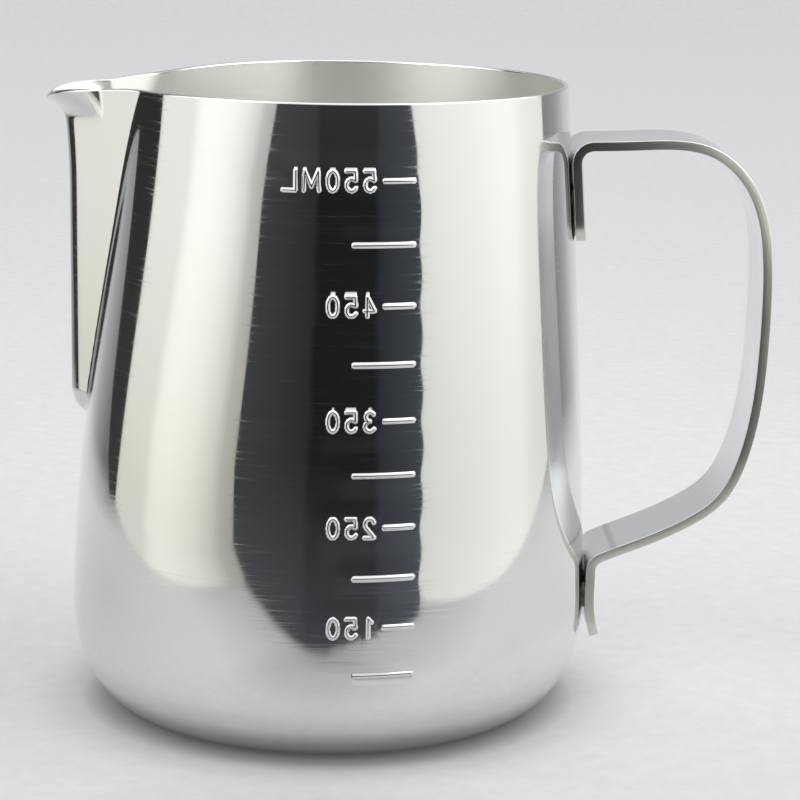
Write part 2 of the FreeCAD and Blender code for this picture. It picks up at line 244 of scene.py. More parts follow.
def scale_strokes():
    """Every pressed line as (start, end, bead radius, rise); places are (arc, height) in mm."""
    strokes = []
    for index, z in enumerate(mark_heights()):
        shift = z * math.tan(math.radians(SCALE_LEAN))
        long_mark = index % 2 == 0
        start = (LONG_MARK_START if long_mark else SHORT_MARK_START) - shift
        end = MARK_END - shift
        strokes.append(((start, z), (end, z), MARK_BEAD, MARK_RISE))
        if long_mark:
            continue
        text = str(100 + 50 * index)
        if index == MARK_COUNT - 1:
            text += "ML"
        place = start - DIGIT_GAP - DIGIT_BEAD
        for letter in text:
            width = DIGIT_WIDTH * {"M": 1.5, "L": 1.3}.get(letter, 1.0)
            for line in GLYPHS[letter]:
                points = [(place - x * width, z + (y - 0.5) * DIGIT_HEIGHT) for x, y in line]
                for one, two in zip(points, points[1:]):
                    strokes.append((one, two, DIGIT_BEAD, DIGIT_RISE))
            place -= width + DIGIT_SPACE
    return strokes


STROKES = scale_strokes()


def pressed_height(angle, z):
    """How far the sheet stands out because of the scale, at angle from the spout."""
    reach = np.radians(angle - 90.0) * (side_radius(z) - flattening(90.0, z))
    height = np.zeros_like(reach)
    swell = np.zeros_like(reach)
    for (x1, z1), (x2, z2), bead, rise in STROKES:
        near = (np.abs(z - 0.5 * (z1 + z2)) < 6.0) & (np.abs(reach) < 24.0)
        if not near.any():
            continue
        dx = x2 - x1
        dz = z2 - z1
        px = reach[near] - x1
        pz = z[near] - z1
        share = np.clip((px * dx + pz * dz) / (dx * dx + dz * dz), 0.0, 1.0)
        distance2 = (px - share * dx) ** 2 + (pz - share * dz) ** 2
        ridge = rise * np.clip(1.0 - distance2 / bead ** 2, 0.0, None) ** 1.6
        height[near] = np.maximum(height[near], ridge)
        soft = DENT_RISE * np.exp(-distance2 / DENT_REACH ** 2)
        swell[near] = np.maximum(swell[near], soft)
    return height + swell


# ============================== shell mesh ====================================

def stepped(*stretches):
    """Values along stretches given as (from, to, step)."""
    values = []
    for first, last, step in stretches:
        count = max(1, int(round(abs(last - first) / step)))
        values += list(np.linspace(first, last, count + 1)[:-1])
    return values + [stretches[-1][1]]


def column_angles():
    """Angles round the shell: close together on the ridge, the creases and the scale."""
    turns = stepped((-45, -7, 0.8), (-7, 7, 0.4), (7, 45, 0.8), (45, 72, 1.5),
                    (72, 111, 0.2), (111, 315, 1.5))
    return (np.array(turns[:-1]) + 180.0) % 360.0 - 180.0


def row_heights():
    """Heights of the rows above the belly: close together across the pressed scale."""
    heights = list(np.linspace(BELLY_HEIGHT, HEIGHT, 70))
    heights += list(np.linspace(HEIGHT - 10.0, HEIGHT, 24))
    heights += list(np.linspace(SPOUT_FOOT - 1.0, SPOUT_FOOT + SPOUT_FOOT_LENGTH, 24))
    for index, z in enumerate(mark_heights()):
        half = 1.0 if index % 2 == 0 else DIGIT_HEIGHT / 2 + DIGIT_BEAD + 0.2
        heights = [h for h in heights if abs(h - z) > half]
        heights += list(np.arange(z - half, z + half, 0.15))
    return np.unique(np.round(heights, 4))


def pressed_point(angle, level):
    """Outside points with the scale pressed out of the sheet."""
    point = shell_point(angle, level, LIP_RADIUS)
    normal = outward_normal(angle, level, LIP_RADIUS)
    return point + normal * pressed_height(angle, point[..., 2])[..., None], normal


def grid_normals(angle, level, inset):
    """Normals of the finished surface, from its slopes both ways."""
    step_a = 0.02
    step_l = 2e-4

    def place(a, l):
        point, normal = pressed_point(a, l)
        return point - normal * inset
    around = place(angle + step_a, level) - place(angle - step_a, level)
    up = place(angle, level + step_l) - place(angle, np.clip(level - step_l, 0.0, None))
    normal = np.cross(around, up)
    return normal / np.linalg.norm(normal, axis=-1, keepdims=True)


def shell_mesh():
    """Rows of the shell with their normals: outside, rolled lip and inside."""
    angles = column_angles()
    heights = row_heights()
    side_levels = 1.0 + (heights - BELLY_HEIGHT) / (HEIGHT - BELLY_HEIGHT)
    corner_levels = np.linspace(0.0, 1.0, 22)[:-1]
    outer_levels = np.concatenate([corner_levels, side_levels])
    inner_levels = np.concatenate([corner_levels[::2], 1.0 + np.sin(np.linspace(0, np.pi / 2, 90))])
    rows = []
    normals = []
    angle, level = np.meshgrid(angles, outer_levels)
    outer, _ = pressed_point(angle, level)
    rows += list(outer)
    normals += list(grid_normals(angle, level, 0.0))
    angle, level = np.meshgrid(angles, inner_levels[::-1])
    skin, facing = pressed_point(angle, level)
    inner = skin - facing * WALL
    inner_normals = -grid_normals(angle, level, WALL)
    middle = 0.5 * (outer[-1] + inner[0])
    half = 0.5 * (outer[-1] - inner[0])
    upward = outer[-1] - outer[-2]
    upward /= np.linalg.norm(upward, axis=-1, keepdims=True)
    for turn in np.radians(np.arange(22.5, 180.0, 22.5)):
        rows.append(middle + half * math.cos(turn) + upward * LIP_RADIUS * math.sin(turn))
        lip = half / LIP_RADIUS * math.cos(turn) + upward * math.sin(turn)
        normals.append(lip / np.linalg.norm(lip, axis=-1, keepdims=True))
    lip_rows = (len(outer), len(rows))
    rows += list(inner)
    normals += list(inner_normals)
    return np.array(rows), np.array(normals), lip_rows


def disc_rows(rows, first):
    """Rings that close the base, from the first or last ring to the middle."""
    ring = rows[0] if first else rows[-1]
    down = np.array([0.0, 0.0, -1.0 if first else 1.0])
    made = []
    for share in (0.97, 0.9, 0.7, 0.45, 0.2, 0.02):
        flat = ring * np.array([share, share, 1.0])
        made.append((flat, np.broadcast_to(down, flat.shape)))
    return made


def build_shell():
    rows, normals, lip_rows = shell_mesh()
    under = disc_rows(rows, True)[::-1]
    floor = disc_rows(rows, False)
    points = np.concatenate([[r for r, _ in under], rows, [r for r, _ in floor]])
    facing = np.concatenate([[n for _, n in under], normals, [n for _, n in floor]])
    lip_start = lip_rows[0] + len(under)
    lip_end = lip_rows[1] + len(under)
    row_count, column_count = points.shape[:2]
    faces = []
    slots = []
    for row in range(row_count - 1):
        kind = 0 if row < lip_start - 1 else (1 if row < lip_end else 2)
        base = row * column_count
        for column in range(column_count):
            following = (column + 1) % column_count
            faces.append((base + column, base + following,
                          base + column_count + following, base + column_count + column))
            slots.append(kind)
    last = (row_count - 1) * column_count
    faces.append(tuple(range(column_count))[::-1])
    slots.append(0)
    faces.append(tuple(range(last, last + column_count)))
    slots.append(2)
    return make_mesh("pitcher_shell", points.reshape(-1, 3), faces, facing.reshape(-1, 3), slots)


def make_mesh(name, points, faces, normals=None, slots=None):
    """Smooth-shaded object from points in millimetres."""
    mesh = bpy.data.meshes.new(name)
    mesh.from_pydata((np.asarray(points) * MM).tolist(), [], faces)
    mesh.update()
    mesh.polygons.foreach_set("use_smooth", np.ones(len(mesh.polygons), bool))
    if slots is not None:
        for _ in range(max(slots) + 1):
            mesh.materials.append(None)
        mesh.polygons.foreach_set("material_index", np.array(slots, np.int32))
    if normals is not None:
        mesh.normals_split_custom_set_from_vertices(np.asarray(normals).tolist())
    obj = bpy.data.objects.new(name, mesh)
    bpy.context.scene.collection.objects.link(obj)
    return obj


# ============================== strap mesh ====================================

def unit(vector):
    vector = np.asarray(vector, float)
    return vector / np.linalg.norm(vector)


def smooth_curve(points, first_way, last_way, steps):
    """Points on the cubic curve through points that starts and ends in given directions."""
    points = np.array(points, float)
    spans = np.linalg.norm(np.diff(points, axis=0), axis=1)
    knots = np.concatenate([[0.0], np.cumsum(spans)])
    count = len(points)
    system = np.zeros((count, count))
    wanted = np.zeros((count, 2))
    system[0, 0] = system[-1, -1] = 1.0
    wanted[0] = unit(first_way)
    wanted[-1] = unit(last_way)
    for i in range(1, count - 1):
        before, after = spans[i - 1], spans[i]
        system[i, i - 1] = after
        system[i, i] = 2.0 * (before + after)
        system[i, i + 1] = before
        rise = (points[i] - points[i - 1]) / before * after
        rise += (points[i + 1] - points[i]) / after * before
        wanted[i] = 3.0 * rise
    slopes = np.linalg.solve(system, wanted)
    places = np.linspace(0.0, knots[-1], steps + 1)
    index = np.clip(np.searchsorted(knots, places, side="right") - 1, 0, count - 2)
    span = spans[index][:, None]
    t = (places - knots[index])[:, None] / span
    return ((2 * t ** 3 - 3 * t ** 2 + 1) * points[index] + (t ** 3 - 2 * t ** 2 + t) * span * slopes[index]
            + (3 * t ** 2 - 2 * t ** 3) * points[index + 1] + (t ** 3 - t ** 2) * span * slopes[index + 1])


def bend_corner(before, corner, after):
    """Arc of points that rounds a corner of the strap's middle line."""
    arriving = unit(corner - before)
    leaving = unit(after - corner)
    turn = math.acos(float(arriving @ leaving))
    reach = BEND_RADIUS * math.tan(turn / 2)
    start = corner - arriving * reach
    centre = corner + unit(leaving - arriving) * BEND_RADIUS / math.cos(turn / 2)
    first = start - centre
    across = arriving * BEND_RADIUS
    return [centre + first * math.cos(t) + across * math.sin(t) for t in np.linspace(0.0, turn, 15)]


def strap_line():
    """Middle line of the strap as X and Z, with the lengths of its two tabs."""
    stand_off = TAB_GAP + STRAP_THICKNESS / 2
    upper_end = np.array([float(side_radius(UPPER_TAB_END)) + stand_off, UPPER_TAB_END])
    upper_corner = np.array([float(side_radius(UPPER_ARM_HEIGHT)) + stand_off, UPPER_ARM_HEIGHT])
    lower_x = float(side_radius(LOWER_ARM_HEIGHT)) + stand_off + LOWER_STAND_OFF
    lower_corner = np.array([lower_x, LOWER_ARM_HEIGHT])
    kick_start = np.array([lower_x, KICK_START])
    lower_end = np.array([lower_x + LOWER_TAB_KICK, LOWER_TAB_END])
    grip = [np.array(place) for place in GRIP_LINE]
    upper_bend = bend_corner(upper_end, upper_corner, grip[0])
    lower_bend = bend_corner(grip[-1], lower_corner, kick_start)
    arm = smooth_curve([upper_bend[-1]] + grip + [lower_bend[0]],
                       grip[0] - upper_corner, lower_corner - grip[-1], 900)
    tab = smooth_curve([lower_bend[-1], kick_start, lower_end], (0.0, -1.0), (KICK_SLOPE, -1.0), 60)
    start = np.linspace(upper_end, upper_bend[0], 60)
    line = np.concatenate([start, upper_bend[1:], arm[1:], lower_bend[1:], tab[1:]])
    upper_length = np.linalg.norm(upper_bend[0] - upper_end)
    lower_length = float(np.sum(np.linalg.norm(np.diff(tab, axis=0), axis=1)))
    return line, upper_length, lower_length


def fade(value, full, none):
    """One up to full, falling smoothly to nothing at none."""
    share = np.clip((value - full) / (none - full), 0.0, 1.0)
    return 0.5 + 0.5 * np.cos(np.pi * share)


def rounded_section(half_width, half_thickness):
    """Outline of the strap's section: (across, out) points of a rectangle with round edges."""
    flat = half_width - EDGE_RADIUS
    side = half_thickness - EDGE_RADIUS
    outline = []
    corners = ((flat, side, 0), (-flat, side, 90), (-flat, -side, 180), (flat, -side, 270))
    for centre_y, centre_n, first in corners:
        for turn in np.radians(np.linspace(first, first + 90, 6)):
            outline.append((centre_y + EDGE_RADIUS * math.cos(turn), centre_n + EDGE_RADIUS * math.sin(turn)))
        if first in (0, 180):
            sign = 1.0 if first == 0 else -1.0
            for share in np.linspace(1.0, -1.0, 19)[1:-1]:
                outline.append((sign * flat * share, sign * half_thickness))
    return np.array(outline)


def rounding(distance, radius):
    """How far an edge has rounded off at a distance from the end."""
    return radius - np.sqrt(np.clip(radius ** 2 - np.clip(radius - distance, 0.0, None) ** 2, 0.0, None))


def build_strap():
    """Bent strap with rounded edges, rounded tab corners and hollowed tabs."""
    section = rounded_section(STRAP_WIDTH / 2, STRAP_THICKNESS / 2)
    outermost = np.abs(section[:, 0]) > STRAP_WIDTH / 2 - 0.3 * EDGE_RADIUS
    sheared_columns = {i for i in range(len(section))
                       if outermost[i] and outermost[(i + 1) % len(section)]}
    line, upper_length, lower_length = strap_line()
    lengths = np.concatenate([[0.0], np.cumsum(np.linalg.norm(np.diff(line, axis=0), axis=1))])
    total = lengths[-1]
    ends = [0.0, 0.03, 0.09, 0.18, 0.3] + list(np.linspace(0.45, TAB_CORNER, 10))
    inner = list(np.arange(TAB_CORNER + 0.5, total - TAB_CORNER, 0.7))
    places = np.array(ends + inner + [total - end for end in reversed(ends)])
    x = np.interp(places, lengths, line[:, 0])
    z = np.interp(places, lengths, line[:, 1])
    slope = np.gradient(line, lengths, axis=0)
    way = np.stack([np.interp(places, lengths, slope[:, 0]), np.interp(places, lengths, slope[:, 1])], -1)
    way /= np.linalg.norm(way, axis=1, keepdims=True)
    bow = UPPER_TAB_BOW * fade(places, upper_length, upper_length + BOW_FADE)
    bow = bow - LOWER_TAB_BOW * fade(total - places, lower_length, lower_length + BOW_FADE)
    points = []
    uv = []
    for place, px, pz, (tx, tz), hollow in zip(places, x, z, way, bow):
        from_end = min(place, total - place)
        soft = rounding(from_end, EDGE_RADIUS)
        half_width = STRAP_WIDTH / 2 - rounding(from_end, TAB_CORNER) - soft
        section = rounded_section(half_width, STRAP_THICKNESS / 2 - soft)
        dish = hollow * (TAB_CURVE - np.sqrt(TAB_CURVE ** 2 - section[:, 0] ** 2))
        out = section[:, 1] + dish
        points.append(np.stack([px - tz * out, section[:, 0], pz + tx * out], -1))
        uv.append(np.stack([np.full(len(section), place), section[:, 0] + section[:, 1]], -1))
    points = np.array(points)
    uv = np.array(uv) * MM
    row_count, column_count = points.shape[:2]
    faces = []
    slots = []
    for row in range(row_count - 1):
        base = row * column_count
        for column in range(column_count):
            following = (column + 1) % column_count
            faces.append((base + column, base + column_count + column,
                          base + column_count + following, base + following))
            slots.append(1 if column in sheared_columns else 0)
    last = (row_count - 1) * column_count
    faces.append(tuple(range(column_count)))
    faces.append(tuple(range(last, last + column_count))[::-1])
    slots += [1, 1]
    strap = make_mesh("handle_strap_finished", points.reshape(-1, 3), faces, slots=slots)
    layer = strap.data.uv_layers.new(name="along")
    loops = np.zeros(len(strap.data.loops), np.int32)
    strap.data.loops.foreach_get("vertex_index", loops)
    layer.data.foreach_set("uv", uv.reshape(-1, 2)[loops].ravel())
    return strap


# ============================== materials =====================================

def new_material(name):
    """Empty node material with its output and a principled shader."""
    material = bpy.data.materials.new(name)
    material.use_nodes = True
    tree = material.node_tree
    tree.nodes.clear()
    output = tree.nodes.new("ShaderNodeOutputMaterial")
    shader = tree.nodes.new("ShaderNodeBsdfPrincipled")
    tree.links.new(shader.outputs["BSDF"], output.inputs["Surface"])
    return material, tree, shader


def add_node(tree, kind, **values):
    node = tree.nodes.new(kind)
    for name, value in values.items():
        setattr(node, name, value)
    return node


def stretched_noise(tree, coordinates, stretch, scale, detail=3.0, roughness=0.55):
    """Noise drawn out along chosen axes; stretch multiplies each coordinate."""
    mapping = add_node(tree, "ShaderNodeMapping")
    mapping.inputs["Scale"].default_value = stretch
    noise = add_node(tree, "ShaderNodeTexNoise")
    noise.inputs["Scale"].default_value = scale
    noise.inputs["Detail"].default_value = detail
    noise.inputs["Roughness"].default_value = roughness
    tree.links.new(coordinates, mapping.inputs["Vector"])
    tree.links.new(mapping.outputs["Vector"], noise.inputs["Vector"])
    return noise.outputs["Fac"]


def ramp(tree, value, low, high, out_low, out_high):
    """Value moved from one range to another and kept inside it."""
    node = add_node(tree, "ShaderNodeMapRange")
    node.inputs["From Min"].default_value = low
    node.inputs["From Max"].default_value = high
    node.inputs["To Min"].default_value = out_low
    node.inputs["To Max"].default_value = out_high
    tree.links.new(value, node.inputs["Value"])
    return node.outputs["Result"]


def position(tree):
    return add_node(tree, "ShaderNodeNewGeometry").outputs["Position"]


def parts_of(tree, vector):
    """The X, Y and Z outputs of a vector."""
    split = add_node(tree, "ShaderNodeSeparateXYZ")
    tree.links.new(vector, split.inputs["Vector"])
    return split.outputs["X"], split.outputs["Y"], split.outputs["Z"]


def turn_of(tree, first, second):
    """Angle in radians whose sine and cosine are in the ratio of two values."""
    turn = add_node(tree, "ShaderNodeMath", operation="ARCTAN2")
    tree.links.new(first, turn.inputs[0])
    tree.links.new(second, turn.inputs[1])
    return turn.outputs["Value"]


def round_coordinates(tree):
    """Position on a round part as (turn, height, nothing)."""
    x, y, z = parts_of(tree, position(tree))
    join = add_node(tree, "ShaderNodeCombineXYZ")
    tree.links.new(turn_of(tree, y, x), join.inputs["X"])
    tree.links.new(z, join.inputs["Y"])
    return join.outputs["Vector"]


def bump(tree, value, distance, strength=1.0):
    node = add_node(tree, "ShaderNodeBump")
    node.inputs["Distance"].default_value = distance
    node.inputs["Strength"].default_value = strength
    tree.links.new(value, node.inputs["Height"])
    return node.outputs["Normal"]


def polished_steel():
    """Mirror-polished outside with the faint rings a polishing wheel leaves."""
    material, tree, shader = new_material("polished_shell_steel")
    round_place = round_coordinates(tree)
    rings = stretched_noise(tree, round_place, (3.0, 2600.0, 1.0), 1.0, 4.0, 0.7)
    haze = stretched_noise(tree, round_place, (2.0, 90.0, 1.0), 1.0, 2.0)
    shader.inputs["Metallic"].default_value = 1.0
    shader.inputs["Base Color"].default_value = (0.8, 0.8, 0.795, 1.0)
    soft = ramp(tree, haze, 0.3, 0.7, 0.03, 0.07)
    scratch = ramp(tree, rings, 0.52, 0.72, 0.0, 0.16)
    total = add_node(tree, "ShaderNodeMath", operation="ADD")
    tree.links.new(soft, total.inputs[0])
    tree.links.new(scratch, total.inputs[1])
    tree.links.new(total.outputs["Value"], shader.inputs["Roughness"])
    tree.links.new(bump(tree, rings, 0.0000015), shader.inputs["Normal"])
    return material


def satin_steel():
    """Inside of the pitcher: turned satin with rings round the axis."""
    material, tree, shader = new_material("satin_inside_steel")
    round_place = round_coordinates(tree)
    rings = stretched_noise(tree, round_place, (4.0, 1500.0, 1.0), 1.0, 5.0, 0.7)
    tangent = add_node(tree, "ShaderNodeTangent", direction_type="RADIAL", axis="Z")
    shader.inputs["Metallic"].default_value = 1.0
    shader.inputs["Base Color"].default_value = (0.93, 0.935, 0.885, 1.0)
    shader.inputs["Anisotropic"].default_value = 0.75
    shader.inputs["Anisotropic Rotation"].default_value = 0.25
    tree.links.new(tangent.outputs["Tangent"], shader.inputs["Tangent"])
    tree.links.new(ramp(tree, rings, 0.3, 0.7, 0.4, 0.5), shader.inputs["Roughness"])
    tree.links.new(bump(tree, rings, 0.00001), shader.inputs["Normal"])
    return material


def lip_steel():
    """Buffed edge of the sheet along the rim."""
    material, tree, shader = new_material("buffed_lip_steel")
    round_place = round_coordinates(tree)
    grain = stretched_noise(tree, round_place, (60.0, 900.0, 1.0), 1.0, 3.0)
    shader.inputs["Metallic"].default_value = 1.0
    shader.inputs["Base Color"].default_value = (0.84, 0.84, 0.82, 1.0)
    tree.links.new(ramp(tree, grain, 0.3, 0.7, 0.1, 0.2), shader.inputs["Roughness"])
    return material


def place_along_strap(tree):
    """Coordinates on the strap, and the share of its length as a value."""
    along = add_node(tree, "ShaderNodeUVMap", uv_map="along").outputs["UV"]
    length, _, _ = parts_of(tree, along)
    return along, ramp(tree, length, 0.0, STRAP_LENGTH, 0.0, 1.0)


def brushed_steel():
    """Strap ground along its length, with the faint line a bending tool left on the lower arm."""
    material, tree, shader = new_material("brushed_strap_steel")
    along, share = place_along_strap(tree)
    lines = stretched_noise(tree, along, (60.0, 5200.0, 1.0), 1.0, 4.0, 0.65)
    blotch = stretched_noise(tree, along, (60.0, 120.0, 1.0), 1.0, 2.0)
    shader.inputs["Metallic"].default_value = 1.0
    brushed = colour_stops(tree, lines, [(0.25, (0.85, 0.86, 0.87)), (0.75, (0.95, 0.96, 0.97))])
    pressed = colour_stops(tree, share, [(0.865, 1.0), (0.868, 0.72), (0.871, 0.72), (0.874, 1.0)])
    tree.links.new(multiplied(tree, brushed, pressed), shader.inputs["Base Color"])
    tree.links.new(ramp(tree, blotch, 0.3, 0.7, 0.26, 0.36), shader.inputs["Roughness"])
    tree.links.new(bump(tree, lines, 0.000006), shader.inputs["Normal"])
    return material


def sheared_steel():
    """Sheared edges of the strap: streaked along, with painted highlights and painted shade along their
    length where the rounded edges catch or miss the light.
    """
    material, tree, shader = new_material("sheared_edge_steel")
    along, share = place_along_strap(tree)
    streaks = stretched_noise(tree, along, (220.0, 3800.0, 1.0), 1.0, 4.0, 0.65)
    shader.inputs["Metallic"].default_value = 1.0
    streaked = colour_stops(tree, streaks, [(0.25, (0.82, 0.83, 0.72)), (0.75, (1.0, 1.0, 0.93))])
    # Painted highlights and shade: brightness along the edges standing in for how their rounded faces reflect
    # the light.
    painted_edge_light_and_shade = colour_stops(tree, share, [
        (0.015, 0.75), (0.025, 0.34), (0.1, 0.2), (0.17, 0.36), (0.24, 0.62), (0.28, 1.0),
        (0.38, 0.88), (0.43, 0.5), (0.48, 0.38), (0.6, 0.28), (0.66, 0.34), (0.72, 0.7),
        (0.89, 0.75), (0.92, 0.52), (0.95, 0.56), (0.985, 0.75)])
    tree.links.new(multiplied(tree, streaked, painted_edge_light_and_shade), shader.inputs["Base Color"])
    tree.links.new(ramp(tree, streaks, 0.3, 0.7, 0.3, 0.42), shader.inputs["Roughness"])
    tree.links.new(bump(tree, streaks, 0.00002), shader.inputs["Normal"])
    return material


def weld_steel():
    """Dull ground metal of the weld nuggets."""
    material, tree, shader = new_material("weld_metal_grey")
    grain = stretched_noise(tree, position(tree), (1.0, 1.0, 1.0), 2400.0, 4.0)
    shader.inputs["Metallic"].default_value = 1.0
    tone = colour_stops(tree, grain, [(0.0, (0.12, 0.11, 0.1)), (1.0, (0.26, 0.25, 0.23))])
    tree.links.new(tone, shader.inputs["Base Color"])
    tree.links.new(ramp(tree, grain, 0.3, 0.7, 0.35, 0.6), shader.inputs["Roughness"])
    tree.links.new(bump(tree, grain, 0.00005), shader.inputs["Normal"])
    return material


def paint(obj, *materials):
    """Put materials into the object's slots in order."""
    slots = obj.data.materials
    while len(slots) < len(materials):
        slots.append(None)
    for index, material in enumerate(materials):
        slots[index] = material


# ============================== studio ========================================

CARD_GLOW = 2.58
CARD_HEIGHT = 0.42


def share_aside(tree, turn):
    """Angle from +Y to either side, as a share of a half turn."""
    size = add_node(tree, "ShaderNodeMath", operation="ABSOLUTE")
    tree.links.new(turn, size.inputs[0])
    return ramp(tree, size.outputs["Value"], 0.0, math.pi, 0.0, 1.0)


def clockwise(tree, turn):
    """Angle from +Y brought to between nothing and a whole turn, in radians."""
    whole = add_node(tree, "ShaderNodeMath", operation="FLOORED_MODULO")
    whole.inputs[1].default_value = 2.0 * math.pi
    tree.links.new(turn, whole.inputs[0])
    return whole.outputs["Value"]


def glowing(name, upward, along):
    """Card glow: colour stops from the floor to the card's top, times grey stops along it."""
    material = bpy.data.materials.new(name)
    material.use_nodes = True
    tree = material.node_tree
    tree.nodes.clear()
    output = tree.nodes.new("ShaderNodeOutputMaterial")
    emission = tree.nodes.new("ShaderNodeEmission")
    _, _, z = parts_of(tree, position(tree))
    level = ramp(tree, z, 0.0, CARD_HEIGHT, 0.0, 1.0)
    share = add_node(tree, "ShaderNodeAttribute", attribute_name="along").outputs["Fac"]
    profile = colour_stops(tree, share, along)
    glow = multiplied(tree, colour_stops(tree, level, upward), profile)
    tree.links.new(glow, emission.inputs["Color"])
    emission.inputs["Strength"].default_value = CARD_GLOW
    tree.links.new(emission.outputs["Emission"], output.inputs["Surface"])
    return material


def blended(tree, first, second, kind):
    mix = add_node(tree, "ShaderNodeMix", data_type="RGBA", blend_type=kind)
    mix.inputs["Factor"].default_value = 1.0
    tree.links.new(first, mix.inputs[6])
    tree.links.new(second, mix.inputs[7])
    return mix


def multiplied(tree, first, second):
    return blended(tree, first, second, "MULTIPLY").outputs[2]


def added(tree, first, second):
    return blended(tree, first, second, "ADD").outputs[2]


def mixed(tree, share, first, second):
    mix = blended(tree, first, second, "MIX")
    tree.links.new(share, mix.inputs["Factor"])
    return mix.outputs[2]


def plain_colour(tree, tone):
    node = add_node(tree, "ShaderNodeRGB")
    node.outputs[0].default_value = tone + (1.0,)
    return node.outputs[0]


def colour_stops(tree, value, stops):
    """Colour ramp through (position, grey or colour) stops."""
    node = add_node(tree, "ShaderNodeValToRGB")
    elements = node.color_ramp.elements
    while len(elements) < len(stops):
        elements.new(0.5)
    for element, (position, tone) in zip(elements, stops):
        element.position = position
        element.color = tuple(tone) + (1.0,) if isinstance(tone, tuple) else (tone, tone, tone, 1.0)
    tree.links.new(value, node.inputs["Fac"])
    return node.outputs["Color"]


def card(name, near_edge, far_edge, material):
    """Sheet between two edges given as places in millimetres from the floor upwards."""
    count = len(near_edge)
    faces = [(i, i + 1, count + i + 1, count + i) for i in range(count - 1)]
    made = make_mesh(name, near_edge + far_edge, faces)
    made.data.polygons.foreach_set("use_smooth", np.zeros(len(faces), bool))
    share = made.data.attributes.new("along", "FLOAT", "POINT")
    share.data.foreach_set("value", [0.0] * count + [1.0] * count)
    paint(made, material)


def tent():
    """Two bright walls beside the opening, and a dark gap behind the left one."""
    levels = [0.0, 12.0, 35.0, 98.0, 116.0, CARD_HEIGHT / MM]
    left_near = [(-110.0, -171.0), (-121.0, -151.0), (-126.0, -144.0), (-124.0, -147.0),
                 (-112.0, -167.0), (-112.0, -167.0)]
    right_near = [(97.0, -139.0), (98.0, -138.0), (100.0, -136.0), (100.0, -136.0),
                  (91.0, -145.0), (91.0, -145.0)]
    gap_far = [(-270.0, 103.0), (-260.0, 121.0), (-250.0, 136.0), (-235.0, 156.0),
               (-233.0, 160.0), (-225.0, 172.0)]
    left_far = [(-279.0, 78.0)] * len(levels)
    right_far = [(319.0, 142.0)] * len(levels)

    def edge(plan):
        return [(x, y, z) for (x, y), z in zip(plan, levels)]

    left_glow = glowing("left_wall_glow", [
        (0.0, (0.38, 0.38, 0.351)), (0.045, (0.38, 0.38, 0.338)), (0.09, (0.415, 0.415, 0.368)),
        (0.152, (0.445, 0.445, 0.414)), (0.21, (0.475, 0.475, 0.453)), (0.3, (0.49, 0.49, 0.471)),
        (0.5, (1.0, 1.0, 1.0))], [
        (0.0, 0.42), (0.07, 0.5), (0.12, 0.68), (0.2, 0.84), (0.27, 0.93), (0.35, 0.98),
        (0.42, 1.0), (0.5, 0.98), (0.58, 0.8), (0.93, 0.8), (1.0, 0.68)])
    right_glow = glowing("right_wall_glow", [
        (0.0, (0.41, 0.41, 0.393)), (0.045, (0.395, 0.395, 0.38)), (0.095, (0.405, 0.405, 0.389)),
        (0.152, (0.43, 0.43, 0.413)), (0.225, (0.457, 0.457, 0.44)), (0.3, (0.468, 0.468, 0.45)),
        (0.5, (1.0, 1.0, 1.0))], [
        (0.0, 0.75), (0.04, 0.82), (0.11, 0.87), (0.2, 0.915), (0.33, 0.99),
        (0.42, 1.0), (0.55, 0.885), (0.65, 0.85), (1.0, 0.82)])
    gap = glowing("dark_gap_tone", [(0.0, 0.019), (0.25, 0.0115)], [(0.0, 1.0), (1.0, 1.0)])
    card("left_wall", edge(left_near), edge(left_far), left_glow)
    card("right_wall", edge(right_near), edge(right_far), right_glow)
    card("dark_gap", edge(left_far), edge(gap_far), gap)


FRONT_EDGE = [
    (-110.0, -171.0), (-75.0, -158.0), (-38.0, -138.0), (-14.0, -124.0), (-2.0, -119.0),
    (11.0, -125.0), (40.0, -134.0), (97.0, -139.0),
]


# Painted shade and light on the floor, as rounded areas given by centre, inner and outer radius and tone:
# painted shade at the left, a painted pool of light beside the pitcher at the right and painted shade in
# front.
PAINTED_FLOOR_LIGHT_AND_SHADE = [
    ((-0.13, 0.02, 0.0), 0.0, 0.1, 0.84),
    ((0.055, 0.0, 0.0), 0.01, 0.05, 1.13),
    ((-0.005, -0.09, 0.0), 0.025, 0.05, 0.85),
]


def spot(tree, place, centre, inner, outer, strength):
    """Painted shade (tone below one) or painted light (tone above one) in a rounded area of the floor, fading
    to one at its outer radius.
    """
    away = add_node(tree, "ShaderNodeVectorMath", operation="DISTANCE")
    away.inputs[1].default_value = centre
    tree.links.new(place, away.inputs[0])
    return ramp(tree, away.outputs["Value"], inner, outer, strength, 1.0)


